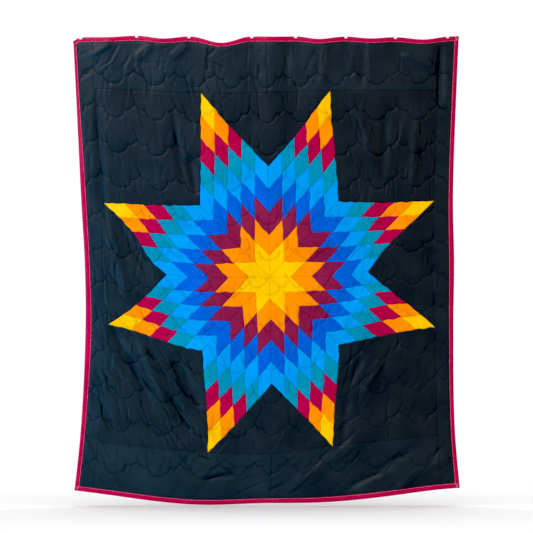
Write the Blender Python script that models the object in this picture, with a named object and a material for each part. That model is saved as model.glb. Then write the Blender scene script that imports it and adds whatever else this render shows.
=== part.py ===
# Star quilt blanket, hanging by its top edge from eight small clips.
# Metres, +Z up, +X to the viewer's right, the face towards -Y.
# The origin is the middle of the top edge.
import math

import bmesh
import bpy
import numpy as np

# Flat cut of the quilt, as it was pieced
PATCH_SIDE = 0.54
STAR_HALF = PATCH_SIDE * (1 + math.sqrt(0.5))
TIP_OFFSET = PATCH_SIDE * math.sqrt(0.5)
SIDE_STRIP = 0.105
TOP_STRIP = 0.27
BOTTOM_STRIP = 0.265
HALF_WIDTH = STAR_HALF + SIDE_STRIP
CUT_HEIGHT = TOP_STRIP + 2 * STAR_HALF + BOTTOM_STRIP
STAR_DROP = TOP_STRIP + STAR_HALF

# Thicknesses
SEAM_THICKNESS = 0.0026
PUFF = 0.0026
BINDING_WIDTH = 0.025
BINDING_CLOTH = 0.0009
GAP = 0.0005
INWARD_SIDES = (2, 6)
OUTWARD_SIDES = (0, 4)

# Scalloped quilting, in rows of three-lobed motifs
MOTIF_WIDTH = 0.2054
# Flat drop of each row's cusps at the left, the middle and the right of the quilt
ROW_PLACES = (-0.82, 0.0, 0.82)
ROWS_DOWN = (
    (0.164, 0.171, 0.159),
    (0.325, 0.350, 0.333),
    (0.487, 0.520, 0.497),
    (0.651, 0.690, 0.658),
    (0.839, 0.852, 0.845),
    (1.058, 1.033, 1.031),
    (1.270, 1.206, 1.233),
    (1.490, 1.400, 1.430),
    (1.662, 1.588, 1.632),
    (1.823, 1.762, 1.811),
    (1.978, 1.940, 1.975),
    (2.188, 2.150, 2.176),
)
SMALL_LOBE = 0.016
BIG_LOBE = 0.075
INNER_CUSP = 0.027
LOBE_SPLIT = 0.25
LOBE_FULLNESS = 0.55
BIG_LOBE_SQUARENESS = 2.2
MOTIF_STATIONS = (0.0, 0.125, 0.25, 0.39, 0.61, 0.75, 0.875)
END_STATIONS = (0.125, 0.25)
WHOLE_MOTIFS = 9
LINES_BELOW_ROW = ((0.14, 1.0), (0.60, 0.85))
END_LINE = (0.4, 0.7)

# Where the seams hang, one row for each seam down the quilt, in metres from the origin.
# Columns: left edge, left seam, left tips, middle, right tips, right seam, right edge
ACROSS_STATIONS = (-HALF_WIDTH, -STAR_HALF, -TIP_OFFSET, 0.0, TIP_OFFSET, STAR_HALF, HALF_WIDTH)
DOWN_STATIONS = (
    0.0,
    TOP_STRIP,
    STAR_DROP - TIP_OFFSET,
    STAR_DROP,
    STAR_DROP + TIP_OFFSET,
    STAR_DROP + STAR_HALF,
    CUT_HEIGHT,
)
HUNG_ACROSS = (
    (-0.998, -0.896, -0.336, 0.005, 0.336, 0.904, 0.996),
    (-0.985, -0.886, -0.336, 0.008, 0.331, 0.888, 0.984),
    (-0.954, -0.839, -0.343, 0.016, 0.377, 0.868, 0.966),
    (-0.936, -0.826, -0.376, 0.021, 0.390, 0.862, 0.972),
    (-0.932, -0.801, -0.333, 0.028, 0.382, 0.873, 0.968),
    (-0.961, -0.865, -0.300, 0.030, 0.346, 0.888, 0.978),
    (-0.989, -0.894, -0.320, 0.021, 0.356, 0.904, 1.002),
)
HUNG_DROP = (
    (0.002, -0.006, -0.008, -0.008, -0.008, -0.006, -0.010),
    (0.253, 0.261, 0.284, 0.284, 0.274, 0.269, 0.263),
    (0.847, 0.852, 0.861, 0.820, 0.843, 0.842, 0.837),
    (1.167, 1.175, 1.231, 1.234, 1.218, 1.164, 1.160),
    (1.488, 1.498, 1.618, 1.636, 1.587, 1.493, 1.488),
    (2.076, 2.087, 2.141, 2.146, 2.109, 2.056, 2.051),
    (2.336, 2.350, 2.411, 2.401, 2.396, 2.332, 2.325),
)

# Uneven pulls inside the quilt, finer than that table: place across, drop, shift across,
# shift down, reach
PULLS = (
    (-0.36, 1.23, 0.022, 0.006, 0.13),
    (-0.28, 1.06, 0.014, 0.012, 0.15),
    (-0.24, 1.46, 0.018, -0.008, 0.17),
    (0.06, 0.91, -0.002, 0.022, 0.20),
    (-0.08, 1.60, 0.002, -0.020, 0.17),
    (0.16, 1.60, -0.006, -0.010, 0.18),
    (-0.58, 1.12, -0.024, 0.008, 0.12),
    (-0.62, 1.44, -0.016, -0.006, 0.13),
    (-0.80, 1.49, -0.012, -0.016, 0.12),
    (0.22, 0.90, -0.008, 0.002, 0.15),
    (0.58, 0.93, -0.018, 0.004, 0.14),
    (0.35, 1.13, 0.006, 0.010, 0.16),
    (0.68, 1.16, -0.016, 0.014, 0.12),
    (0.60, 1.35, -0.008, -0.018, 0.10),
    (0.50, 1.50, -0.010, -0.004, 0.16),
)
PULL_EDGE = 0.08

# Clips that the top edge hangs from, and how far the edge sags after each: place across, sag
CLIPS = (
    (-0.974, 0.007),
    (-0.702, 0.014),
    (-0.445, 0.034),
    (-0.089, 0.002),
    (0.174, 0.014),
    (0.459, 0.009),
    (0.693, 0.013),
    (0.960, 0.000),
)
SAG_FADE = 0.11
CORNER_DROOP = 0.010

# Main folds as the cloth hangs: across and drop of the start, across and drop of the end,
# lift towards the viewer (a trough is negative), half width
FOLDS = (
    (-0.905, 0.100, -0.800, 0.030, 0.010, 0.024),
    (-0.665, 0.110, -0.590, 0.035, 0.009, 0.022),
    (-0.480, 0.100, -0.405, 0.030, 0.009, 0.022),
    (-0.870, 0.330, -0.845, 0.900, -0.012, 0.022),
    (-0.480, 0.380, -0.420, 0.760, -0.008, 0.020),
    (-0.390, 0.620, -0.360, 0.800, -0.010, 0.020),
    (0.100, 0.030, 0.110, 0.230, -0.007, 0.024),
    (0.310, 0.040, 0.300, 0.240, 0.007, 0.024),
    (0.500, 0.030, 0.495, 0.250, -0.007, 0.024),
    (0.700, 0.090, 0.860, 0.140, 0.008, 0.022),
    (0.900, 0.030, 0.900, 0.330, -0.010, 0.022),
    (0.480, 0.400, 0.560, 0.640, 0.008, 0.022),
    (0.620, 0.380, 0.600, 0.760, -0.007, 0.022),
    (0.780, 0.420, 0.760, 0.760, 0.007, 0.022),
    (-0.815, 0.950, -0.720, 1.330, 0.010, 0.024),
    (-0.760, 0.960, -0.600, 1.220, -0.008, 0.022),
    (-0.790, 1.500, -0.700, 1.700, -0.011, 0.024),
    (-0.650, 1.560, -0.520, 1.880, 0.013, 0.024),
    (-0.710, 1.650, -0.580, 1.920, -0.012, 0.022),
    (-0.475, 1.660, -0.340, 1.900, -0.016, 0.026),
    (-0.495, 1.840, -0.390, 2.060, -0.012, 0.022),
    (-0.820, 1.740, -0.600, 1.970, 0.011, 0.024),
    (-0.870, 1.850, -0.790, 2.030, -0.009, 0.022),
    (0.500, 1.650, 0.420, 1.800, -0.008, 0.022),
    (0.600, 1.650, 0.500, 1.850, 0.009, 0.024),
    (0.420, 1.850, 0.395, 2.080, -0.009, 0.022),
    (0.130, 2.320, 0.480, 2.080, 0.011, 0.030),
    (0.400, 2.330, 0.790, 2.110, -0.010, 0.028),
    (0.690, 2.310, 0.950, 2.150, 0.010, 0.026),
    (-0.320, 2.290, -0.160, 2.250, -0.008, 0.020),
)

FOLD_OVERRUN = 0.15
FOLD_TAPER = 0.35

# Broad swells of the whole cloth
SWELL_DEPTH = 0.010
SWELL_FADE = 0.50
HEM_WAVE_DEPTH = 0.009
HEM_WAVE_WIDTH = 0.62
HEM_WAVE_REACH = 0.55
HEM_WAVE_PHASE = 0.6
CURL_DEPTH = 0.018
CURL_WIDTH = 0.045
CURL_DROP = 0.95
CURL_PINCH = 0.10

# Clips: plain channels over the top edge
CLIP_WIDTH = 0.015
CLIP_WALL = 0.0015
CLIP_FRONT = 0.010
CLIP_BACK = 0.016
CLIP_ROOM = 0.0006

# Colours and roughness of the three finishes
BLACK_COTTON = ((0.012, 0.022, 0.030), 0.62)
CRIMSON_COTTON = ((0.42, 0.002, 0.052), 0.55)
WHITE_PLASTIC = ((0.82, 0.82, 0.78), 0.40)


def smooth_rise(share):
    share = np.clip(share, 0.0, 1.0)
    return share * share * (3 - 2 * share)


def station_shares(stations, where):
    """Share of each station's value in the smooth curve through them, at the places in where."""
    stations = np.asarray(stations, float)
    steps = np.diff(stations)
    values = np.eye(len(stations))
    slopes = np.diff(values, axis=0) / steps[:, None]
    tangents = np.vstack([slopes[:1], slopes])
    for k in range(1, len(steps)):
        before, after = steps[k - 1], steps[k]
        tangents[k] = (slopes[k - 1] * after + slopes[k] * before) / (before + after)
    k = np.clip(np.searchsorted(stations, where) - 1, 0, len(steps) - 1)
    t = ((where - stations[k]) / steps[k])[..., None]
    step = steps[k][..., None]
    start = (2 * t**3 - 3 * t**2 + 1) * values[k] + (t**3 - 2 * t**2 + t) * step * tangents[k]
    end = (3 * t**2 - 2 * t**3) * values[k + 1] + (t**3 - t**2) * step * tangents[k + 1]
    return start + end


def table_at(table, across, down):
    """Value of a hung table at flat places, smooth both ways."""
    rows = station_shares(DOWN_STATIONS, down)
    columns = station_shares(ACROSS_STATIONS, across)
    return np.einsum("...r,rc,...c->...", rows, np.array(table), columns)


def between_clips(across, heights):
    """Rounded humps between each clip and the next, none at the clips themselves."""
    total = np.zeros_like(across)
    for (start, _), (end, _), height in zip(CLIPS[:-1], CLIPS[1:], heights):
        share = np.clip((across - start) / (end - start), 0.0, 1.0)
        total += height * np.sin(math.pi * share) ** 2
    return total


def edge_sag(across):
    """How far the top edge hangs below the line of the clips."""
    sag = between_clips(across, [depth for _, depth in CLIPS[:-1]])
    corner = smooth_rise((CLIPS[0][0] - across) / (HALF_WIDTH + CLIPS[0][0]))
    return sag + CORNER_DROOP * corner


def fold_relief(x, drop):
    """Depth towards the viewer of the placed folds."""
    relief = np.zeros_like(x)
    for x0, drop0, x1, drop1, lift, half_width in FOLDS:
        length = math.hypot(x1 - x0, drop1 - drop0)
        ux, ud = (x1 - x0) / length, (drop1 - drop0) / length
        along = ((x - x0) * ux + (drop - drop0) * ud) / length
        off = (x - x0) * ud - (drop - drop0) * ux
        ends = smooth_rise((along + FOLD_OVERRUN) / FOLD_TAPER)
        ends *= smooth_rise((1 + FOLD_OVERRUN - along) / FOLD_TAPER)
        relief += lift * ends * np.exp(-((off / half_width) ** 2))
    return relief


def broad_relief(across, down):
    """Soft upright swells between the clips and along the hem, and the turned left edge."""
    swells = SWELL_DEPTH * between_clips(across, [1.0] * (len(CLIPS) - 1))
    swells *= np.exp(-down / SWELL_FADE)
    hem = HEM_WAVE_DEPTH * np.sin(2 * math.pi * across / HEM_WAVE_WIDTH + HEM_WAVE_PHASE)
    hem *= smooth_rise(1 - (CUT_HEIGHT - down) / HEM_WAVE_REACH)
    curl = smooth_rise(1 - (across + HALF_WIDTH) / CURL_WIDTH)
    curl *= CURL_DEPTH * smooth_rise((CURL_DROP - down) / CURL_DROP)
    return swells + hem - curl


def pulled(x, drop, across, down):
    """Hung places moved by the uneven pulls, which fade out towards the binding."""
    rim = np.minimum(HALF_WIDTH - np.abs(across), np.minimum(down, CUT_HEIGHT - down))
    share = smooth_rise((rim - BINDING_WIDTH) / PULL_EDGE)
    moved_x, moved_drop = x.copy(), drop.copy()
    for place, place_drop, shift, shift_down, reach in PULLS:
        near = share * np.exp(-((x - place) ** 2 + (drop - place_drop) ** 2) / reach**2)
        moved_x += shift * near
        moved_drop += shift_down * near
    return moved_x, moved_drop


def hang(across, down):
    """Hung place (x, y, z) of the quilt's middle surface at flat places across and down."""
    across = np.asarray(across, float)
    down = np.asarray(down, float)
    strip = np.clip((across + HALF_WIDTH) / SIDE_STRIP, 0.0, 1.0)
    pinch = CURL_PINCH * smooth_rise((CURL_DROP - down) / CURL_DROP)
    pinched = across - SIDE_STRIP * pinch * np.sin(math.pi * strip)
    x = table_at(HUNG_ACROSS, pinched, down)
    drop = table_at(HUNG_DROP, across, down)
    x, drop = pulled(x, drop, across, down)
    drop += edge_sag(across) * np.exp(-down / SAG_FADE)
    y = -fold_relief(x, drop) - broad_relief(across, down)
    return np.stack([x, y, -drop], axis=-1)


def scallop(across):
    """How far a quilting line dips below its cusps."""
    phase = (across / MOTIF_WIDTH + 0.5) % 1.0
    near = np.minimum(phase, 1.0 - phase)
    small = SMALL_LOBE * np.sin(math.pi * np.clip(near / LOBE_SPLIT, 0, 1)) ** LOBE_FULLNESS
    small += INNER_CUSP * near / LOBE_SPLIT * (near <= LOBE_SPLIT)
    side = np.clip(np.abs(phase - 0.5) / (0.5 - LOBE_SPLIT), 0, 1)
    fullness = (1 - side**BIG_LOBE_SQUARENESS) ** LOBE_FULLNESS
    big = INNER_CUSP + (BIG_LOBE - INNER_CUSP) * fullness
    return np.where(near < LOBE_SPLIT, small, big)


def column_stations():
    """Flat places of the upright mesh lines, edge to edge."""
    first = -WHOLE_MOTIFS / 2 * MOTIF_WIDTH
    inner = []
    for motif in range(WHOLE_MOTIFS):
        inner += [first + (motif + share) * MOTIF_WIDTH for share in MOTIF_STATIONS]
    inner.append(-first)
    ends = [-first + share * MOTIF_WIDTH for share in END_STATIONS]
    edge = [HALF_WIDTH - BINDING_WIDTH, HALF_WIDTH]
    side = ends + edge
    return np.array([-value for value in reversed(side)] + inner + side)


def row_grid(columns):
    """Flat drops of the mesh lines that follow the quilting, and the share of puff on each."""
    dips = scallop(columns)
    dips[:2] = 0.0
    dips[-2:] = 0.0
    end_dip, end_puff = END_LINE
    lines = [np.interp(columns, ROW_PLACES, drops) for drops in ROWS_DOWN]
    level = np.zeros_like(columns)
    rows = [(level, 0.0, 0.0), (level + BINDING_WIDTH, 0.0, 0.0)]
    rows.append(((BINDING_WIDTH + lines[0]) / 2, end_dip, end_puff))
    for line, below in zip(lines[:-1], lines[1:]):
        rows.append((line, 1.0, 0.0))
        rows += [(line + share * (below - line), 1.0, puff) for share, puff in LINES_BELOW_ROW]
    rows.append((lines[-1], 1.0, 0.0))
    rows.append(((lines[-1] + CUT_HEIGHT) / 2 + BIG_LOBE / 3, end_dip, end_puff))
    rows += [(level + CUT_HEIGHT - BINDING_WIDTH, 0.0, 0.0), (level + CUT_HEIGHT, 0.0, 0.0)]
    down = np.array([base + dip * dips for base, dip, _ in rows])
    puff = np.array([[value] * len(columns) for _, _, value in rows])
    puff[:, :2] = 0.0
    puff[:, -2:] = 0.0
    return down, puff


def straighten_borders(points):
    """Makes each corner of the binding zone flat, so that layers over it stay parallel."""
    for row, inner_row in ((0, 1), (-1, -2)):
        for column, inner_column in ((0, 1), (-1, -2)):
            points[row, column] = (
                points[row, inner_column]
                + points[inner_row, column]
                - points[inner_row, inner_column]
            )
    return points


def shrink_border(points, inset):
    """Moves the outermost lines inwards by a flat distance, along the binding zone."""
    share = inset / BINDING_WIDTH
    result = points.copy()
    result[:, 0] += (points[:, 1] - points[:, 0]) * share
    result[:, -1] += (points[:, -2] - points[:, -1]) * share
    result[0] += (result[1] - result[0]) * share
    result[-1] += (result[-2] - result[-1]) * share
    return result


def shifted(points, distance):
    """The same points moved along Y, where negative is towards the viewer."""
    moved = points.copy()
    moved[..., 1] += distance
    return moved


def finished(name, bm, finish):
    bmesh.ops.recalc_face_normals(bm, faces=bm.faces)
    mesh = bpy.data.meshes.new(name)
    bm.to_mesh(mesh)
    bm.free()
    material = bpy.data.materials.new(name)
    material.use_nodes = True
    colour, roughness = finish
    shader = material.node_tree.nodes["Principled BSDF"]
    shader.inputs["Base Color"].default_value = (*colour, 1.0)
    shader.inputs["Roughness"].default_value = roughness
    mesh.materials.append(material)
    obj = bpy.data.objects.new(name, mesh)
    bpy.context.scene.collection.objects.link(obj)
    return obj


def add_grid(bm, points, closed_across, turned=()):
    """Triangles over a grid of points; the columns in turned are cut along the other diagonal."""
    verts = [[bm.verts.new(tuple(p)) for p in row] for row in points]
    columns = len(verts[0]) if closed_across else len(verts[0]) - 1
    for upper, lower in zip(verts[:-1], verts[1:]):
        for c in range(columns):
            d = (c + 1) % len(upper)
            if c in turned:
                bm.faces.new((upper[c], upper[d], lower[c]))
                bm.faces.new((upper[d], lower[d], lower[c]))
            else:
                bm.faces.new((upper[c], upper[d], lower[d]))
                bm.faces.new((upper[c], lower[d], lower[c]))
    return verts


def quilt_body(points, puff):
    """The quilted layers as one thick cloth, its two faces joined round the rim."""
    bm = bmesh.new()
    half = SEAM_THICKNESS / 2 + PUFF * puff
    front = points.copy()
    front[..., 1] -= half
    back = points.copy()
    back[..., 1] += half
    faces = [add_grid(bm, side, False) for side in (front, back)]
    rims = []
    for grid in faces:
        rim = grid[0][:-1] + [row[-1] for row in grid[:-1]]
        rim += grid[-1][:0:-1] + [row[0] for row in grid[:0:-1]]
        rims.append(rim)
    for k in range(len(rims[0])):
        n = (k + 1) % len(rims[0])
        bm.faces.new((rims[0][k], rims[0][n], rims[1][n]))
        bm.faces.new((rims[0][k], rims[1][n], rims[1][k]))
    return finished("quilt_body", bm, BLACK_COTTON)


def binding(name, outer, inner, turned):
    """A strip folded over one edge: outer and inner are the lines of its two sides.
    Its cells are cut along the same diagonals as the cloth between its legs."""
    bm = bmesh.new()
    near = SEAM_THICKNESS / 2 + GAP
    far = near + BINDING_CLOTH
    web = outer + (inner - outer) * (BINDING_CLOTH / BINDING_WIDTH)
    ring = [
        shifted(outer, -far),
        shifted(inner, -far),
        shifted(inner, -near),
        shifted(web, -near),
        shifted(web, near),
        shifted(inner, near),
        shifted(inner, far),
        shifted(outer, far),
    ]
    verts = add_grid(bm, np.stack(ring, axis=1), True, turned)
    for end in (verts[0], verts[-1]):
        for a, b, c, d in ((0, 1, 2, 3), (0, 3, 4, 7), (7, 4, 5, 6)):
            bm.faces.new((end[a], end[b], end[c]))
            bm.faces.new((end[a], end[c], end[d]))
    return finished(name, bm, CRIMSON_COTTON)


def side_lines(points, outer_column, inner_column):
    """Lines of a side strip, cut just short of the top and bottom strips."""
    outer = points[1:-1, outer_column].copy()
    inner = points[1:-1, inner_column].copy()
    for line in (outer, inner):
        line[0] += (line[1] - line[0]) * GAP / np.linalg.norm(line[1] - line[0])
        line[-1] += (line[-2] - line[-1]) * GAP / np.linalg.norm(line[-2] - line[-1])
    return outer, inner


def clip(name, place, points, columns):
    """A plain channel over the top edge, its back wall flat."""
    x = np.interp(place, columns, points[0, :, 0])
    spans = np.linspace(x - CLIP_WIDTH / 2, x + CLIP_WIDTH / 2, 5)
    depths = [np.interp(spans, line[:, 0], line[:, 1]) for line in points[:2]]
    tops = np.interp(spans, points[0, :, 0], points[0, :, 2])
    cloth = SEAM_THICKNESS / 2 + GAP + BINDING_CLOTH + CLIP_ROOM
    front = float(np.min(depths)) - cloth
    back = float(np.max(depths)) + cloth
    top = float(np.max(tops)) + CLIP_ROOM
    outline = (
        (front, top - CLIP_FRONT),
        (front, top),
        (back, top),
        (back, top - CLIP_BACK),
        (back + CLIP_WALL, top - CLIP_BACK),
        (back + CLIP_WALL, top + CLIP_WALL),
        (front - CLIP_WALL, top + CLIP_WALL),
        (front - CLIP_WALL, top - CLIP_FRONT),
    )
    bm = bmesh.new()
    start = [bm.verts.new((x - CLIP_WIDTH / 2, y, z)) for y, z in outline]
    end = [bm.verts.new((x + CLIP_WIDTH / 2, y, z)) for y, z in outline]
    for k in range(len(outline)):
        n = (k + 1) % len(outline)
        bm.faces.new((start[k], start[n], end[n], end[k]))
    for side in (start, end):
        for a, b, c, d in ((0, 1, 6, 7), (1, 2, 5, 6), (2, 3, 4, 5)):
            bm.faces.new((side[a], side[b], side[c], side[d]))
    return finished(name, bm, WHITE_PLASTIC)


def build():
    for obj in list(bpy.data.objects):
        bpy.data.objects.remove(obj)
    columns = column_stations()
    down, puff = row_grid(columns)
    across = np.broadcast_to(columns, down.shape)
    points = straighten_borders(hang(across, down))
    quilt_body(shrink_border(points, BINDING_CLOTH + GAP), puff)
    binding("binding_top", points[0], points[1], INWARD_SIDES)
    binding("binding_bottom", points[-1], points[-2], OUTWARD_SIDES)
    binding("binding_left", *side_lines(points, 0, 1), INWARD_SIDES)
    binding("binding_right", *side_lines(points, -1, -2), OUTWARD_SIDES)
    for number, (place, _) in enumerate(CLIPS, 1):
        clip(f"clip_{number}", place, points, columns)


build()
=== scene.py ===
import itertools
import math

import bmesh
import bpy
import numpy as np
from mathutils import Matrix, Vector
from mathutils.bvhtree import BVHTree
from mathutils.kdtree import KDTree


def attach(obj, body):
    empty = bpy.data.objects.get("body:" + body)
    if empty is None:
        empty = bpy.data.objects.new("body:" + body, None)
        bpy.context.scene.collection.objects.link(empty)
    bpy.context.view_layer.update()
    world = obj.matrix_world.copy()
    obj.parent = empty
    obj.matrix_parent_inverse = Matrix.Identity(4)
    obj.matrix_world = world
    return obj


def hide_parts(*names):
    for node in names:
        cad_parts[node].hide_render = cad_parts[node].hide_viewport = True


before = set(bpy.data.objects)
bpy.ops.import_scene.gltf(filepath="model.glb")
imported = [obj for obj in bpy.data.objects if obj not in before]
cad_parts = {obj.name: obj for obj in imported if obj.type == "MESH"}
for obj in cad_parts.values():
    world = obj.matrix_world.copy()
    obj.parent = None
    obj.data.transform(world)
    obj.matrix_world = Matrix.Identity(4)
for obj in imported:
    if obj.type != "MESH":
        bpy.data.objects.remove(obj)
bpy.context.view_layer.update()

scene = bpy.context.scene

# the flat cut of the quilt in metres; "across" runs left to right, "down" runs from the top edge
cut = {
    "armSide": 0.54,
    "patchesPerSide": 5,
    "sideStrip": 0.105,
    "topStrip": 0.27,
    "bottomStrip": 0.265,
    "bindingWidth": 0.025,
    "hiddenRim": 0.0016,  # the cloth ends this far inside the binding's fold
}
slant = math.sqrt(0.5)
starHalf = cut["armSide"] * (1 + slant)
tipOffset = cut["armSide"] * slant
halfWidth = starHalf + cut["sideStrip"]
cutHeight = cut["topStrip"] + 2 * starHalf + cut["bottomStrip"]
starDrop = cut["topStrip"] + starHalf

# where the seams hang, as on the solids: a row for each seam down, a column for each seam across
acrossStations = (-halfWidth, -starHalf, -tipOffset, 0.0, tipOffset, starHalf, halfWidth)
downStations = (
    0.0,
    cut["topStrip"],
    starDrop - tipOffset,
    starDrop,
    starDrop + tipOffset,
    starDrop + starHalf,
    cutHeight,
)
hungAcross = np.array((
    (-0.998, -0.896, -0.336, 0.005, 0.336, 0.904, 0.996),
    (-0.985, -0.886, -0.336, 0.008, 0.331, 0.888, 0.984),
    (-0.954, -0.839, -0.343, 0.016, 0.377, 0.868, 0.966),
    (-0.936, -0.826, -0.376, 0.021, 0.390, 0.862, 0.972),
    (-0.932, -0.801, -0.333, 0.028, 0.382, 0.873, 0.968),
    (-0.961, -0.865, -0.300, 0.030, 0.346, 0.888, 0.978),
    (-0.989, -0.894, -0.320, 0.021, 0.356, 0.904, 1.002),
))
hungDrop = np.array((
    (0.002, -0.006, -0.008, -0.008, -0.008, -0.006, -0.010),
    (0.253, 0.261, 0.284, 0.284, 0.274, 0.269, 0.263),
    (0.847, 0.852, 0.861, 0.820, 0.843, 0.842, 0.837),
    (1.167, 1.175, 1.231, 1.234, 1.218, 1.164, 1.160),
    (1.488, 1.498, 1.618, 1.636, 1.587, 1.493, 1.488),
    (2.076, 2.087, 2.141, 2.146, 2.109, 2.056, 2.051),
    (2.336, 2.350, 2.411, 2.401, 2.396, 2.332, 2.325),
))

# uneven pulls inside the quilt, finer than those tables and the same as on the solids:
# place across, drop, shift across, shift down, reach
unevenPulls = (
    (-0.36, 1.23, 0.022, 0.006, 0.13),
    (-0.28, 1.06, 0.014, 0.012, 0.15),
    (-0.24, 1.46, 0.018, -0.008, 0.17),
    (0.06, 0.91, -0.002, 0.022, 0.20),
    (-0.08, 1.60, 0.002, -0.020, 0.17),
    (0.16, 1.60, -0.006, -0.010, 0.18),
    (-0.58, 1.12, -0.024, 0.008, 0.12),
    (-0.62, 1.44, -0.016, -0.006, 0.13),
    (-0.80, 1.49, -0.012, -0.016, 0.12),
    (0.22, 0.90, -0.008, 0.002, 0.15),
    (0.58, 0.93, -0.018, 0.004, 0.14),
    (0.35, 1.13, 0.006, 0.010, 0.16),
    (0.68, 1.16, -0.016, 0.014, 0.12),
    (0.60, 1.35, -0.008, -0.018, 0.10),
    (0.50, 1.50, -0.010, -0.004, 0.16),
)

# small puckers: waves in a metre across and down, phase, shift across and down
puckers = (
    (9.1, 5.3, 0.4, 0.0008, 0.0006),
    (-6.7, 11.9, 1.9, 0.0009, -0.0005),
    (14.3, -4.1, 3.1, -0.0005, 0.0009),
    (3.7, 16.1, 4.4, 0.0009, 0.0003),
    (12.7, 12.1, 5.2, 0.0004, -0.0007),
    (17.3, 1.9, 2.6, 0.0002, 0.0009),
)

# the clips: place across, and how far the edge sags after each
clipPlaces = (
    (-0.974, 0.007),
    (-0.702, 0.014),
    (-0.445, 0.034),
    (-0.089, 0.002),
    (0.174, 0.014),
    (0.459, 0.009),
    (0.693, 0.013),
    (0.960, 0.000),
)

# how the folds fade, and the broad swells of the whole cloth
drape = {
    "pullEdge": 0.08,  # the uneven pulls fade out over this much beside the binding
    "foldOverrun": 0.15,
    "foldTaper": 0.35,
    "fineShare": 0.5,  # share of the finer creases' depth
    "sagFade": 0.11,
    "cornerDroop": 0.010,
    "swellDepth": 0.010,
    "swellFade": 0.50,
    "hemWaveDepth": 0.009,
    "hemWaveWidth": 0.62,
    "hemWaveReach": 0.55,
    "hemWavePhase": 0.6,
    "curlDepth": 0.018,
    "curlWidth": 0.045,
    "curlDrop": 0.95,
    "curlPinch": 0.10,
    "clipClear": (0.012, 0.05),  # finer folds start this far below the top edge
}


def smoothRise(share):
    share = np.clip(share, 0.0, 1.0)
    return share * share * (3 - 2 * share)


def stationShares(stations, where):
    # share of each station's value in a smooth curve through all of them
    stations = np.asarray(stations, float)
    steps = np.diff(stations)
    values = np.eye(len(stations))
    slopes = np.diff(values, axis=0) / steps[:, None]
    tangents = np.vstack([slopes[:1], slopes])
    for k in range(1, len(steps)):
        before, after = steps[k - 1], steps[k]
        tangents[k] = (slopes[k - 1] * after + slopes[k] * before) / (before + after)
    k = np.clip(np.searchsorted(stations, where) - 1, 0, len(steps) - 1)
    t = ((where - stations[k]) / steps[k])[..., None]
    step = steps[k][..., None]
    start = (2 * t**3 - 3 * t**2 + 1) * values[k] + (t**3 - 2 * t**2 + t) * step * tangents[k]
    end = (3 * t**2 - 2 * t**3) * values[k + 1] + (t**3 - t**2) * step * tangents[k + 1]
    return start + end


def betweenClips(across, heights):
    total = np.zeros_like(across)
    for (start, _), (end, _), height in zip(clipPlaces[:-1], clipPlaces[1:], heights):
        share = np.clip((across - start) / (end - start), 0.0, 1.0)
        total += height * np.sin(math.pi * share) ** 2
    return total


def edgeSag(across):
    sag = betweenClips(across, [depth for _, depth in clipPlaces[:-1]])
    corner = smoothRise((clipPlaces[0][0] - across) / (halfWidth + clipPlaces[0][0]))
    return sag + drape["cornerDroop"] * corner


def inMetres(rows):
    # the folds and creases are written in millimetres
    return [tuple(value / 1000 for value in row) for row in rows]


# main folds, the same as on the solids: across and drop of the start, across and drop of the end,
# lift towards the viewer, half width
mainFolds = inMetres((
    (-905, 100, -800, 30, 10, 24),
    (-665, 110, -590, 35, 9, 22),
    (-480, 100, -405, 30, 9, 22),
    (-870, 330, -845, 900, -12, 22),
    (-480, 380, -420, 760, -8, 20),
    (-390, 620, -360, 800, -10, 20),
    (100, 30, 110, 230, -7, 24),
    (310, 40, 300, 240, 7, 24),
    (500, 30, 495, 250, -7, 24),
    (700, 90, 860, 140, 8, 22),
    (900, 30, 900, 330, -10, 22),
    (480, 400, 560, 640, 8, 22),
    (620, 380, 600, 760, -7, 22),
    (780, 420, 760, 760, 7, 22),
    (-815, 950, -720, 1330, 10, 24),
    (-760, 960, -600, 1220, -8, 22),
    (-790, 1500, -700, 1700, -11, 24),
    (-650, 1560, -520, 1880, 13, 24),
    (-710, 1650, -580, 1920, -12, 22),
    (-475, 1660, -340, 1900, -16, 26),
    (-495, 1840, -390, 2060, -12, 22),
    (-820, 1740, -600, 1970, 11, 24),
    (-870, 1850, -790, 2030, -9, 22),
    (500, 1650, 420, 1800, -8, 22),
    (600, 1650, 500, 1850, 9, 24),
    (420, 1850, 395, 2080, -9, 22),
    (130, 2320, 480, 2080, 11, 30),
    (400, 2330, 790, 2110, -10, 28),
    (690, 2310, 950, 2150, 10, 26),
    (-320, 2290, -160, 2250, -8, 20),
))

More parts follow.
